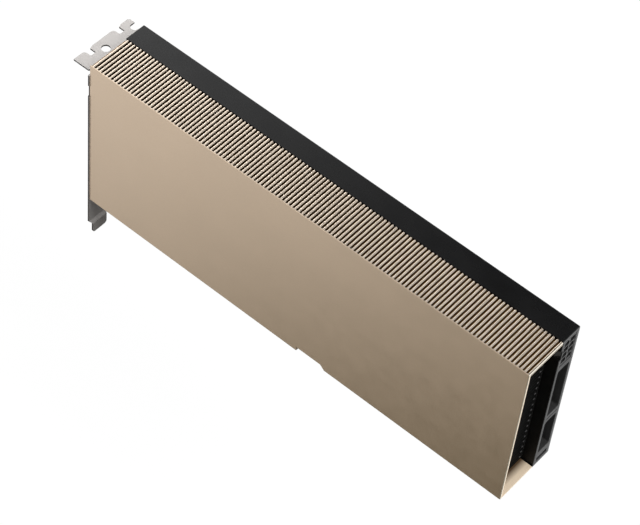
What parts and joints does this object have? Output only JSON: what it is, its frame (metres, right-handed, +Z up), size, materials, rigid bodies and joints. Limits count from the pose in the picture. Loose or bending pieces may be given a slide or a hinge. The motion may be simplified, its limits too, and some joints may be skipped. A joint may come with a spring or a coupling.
{
  "type": "passive accelerator card",
  "caption": "Passive dual-slot accelerator card for a server: ribbed gold front cover over a fin stack, black back cover, power header in the rear frame, and a slot bracket with vents.",
  "frame": {"origin": "on the axis of the round screw hole in the bracket's tab, on the tab's underside, which seats on the chassis", "axes": "+X from the bracket along the card to the power end, +Y from the front cover to the back cover, +Z up, away from the slot and along the way the retaining screw leaves"},
  "size_m": [0.2794, 0.0407, 0.1268],
  "materials": {
    "cover_gold": "champagne-gold anodised, fine blasted",
    "cover_black": "satin black anodised",
    "frame_black": "black anodised, fine blasted",
    "header_black": "black moulded nylon",
    "tinned_brass": "tin plated",
    "plated_steel": "nickel plated sheet",
    "board_black": "black solder mask on a glass-fibre board",
    "contact_gold": "gold plated",
    "substrate_green": "green package substrate",
    "die_grey": "polished silicon",
    "package_black": "moulded package",
    "pad_grey": "soft thermal pad",
    "choke_grey": "pressed ferrite",
    "can_aluminium": "plain drawn can",
    "sink_aluminium": "plain aluminium",
    "fin_dark": "dark anodised sheet with bare sheared edges",
    "spring_steel": "stainless",
    "film_black": "insulating film",
    "screw_black": "black oxide"
  },
  "bodies": {
    "root": {"front_cover": "cover_gold", "back_cover": "cover_black", "rear_frame": "frame_black", "power_header": "header_black", "header_pins": "tinned_brass", "io_bracket": "plated_steel", "circuit_board": "board_black", "edge_contacts": "contact_gold", "processor_substrates": "substrate_green", "processor_dies": "die_grey", "memory_chips": "package_black", "memory_pads": "pad_grey", "power_stages": "package_black", "stage_pads": "pad_grey", "chokes": "choke_grey", "choke_pads": "pad_grey", "capacitors": "can_aluminium", "bridge_chip": "package_black", "bridge_pad": "pad_grey", "heatsink_base": "sink_aluminium", "fin_stack": "fin_dark", "leaf_springs": "spring_steel", "insulating_sheet": "film_black", "back_cover_screws": "screw_black", "frame_screws": "screw_black", "cover_screws": "screw_black", "bracket_screws": "spring_steel", "spring_screws": "spring_steel"}
  },
  "joints": []
}
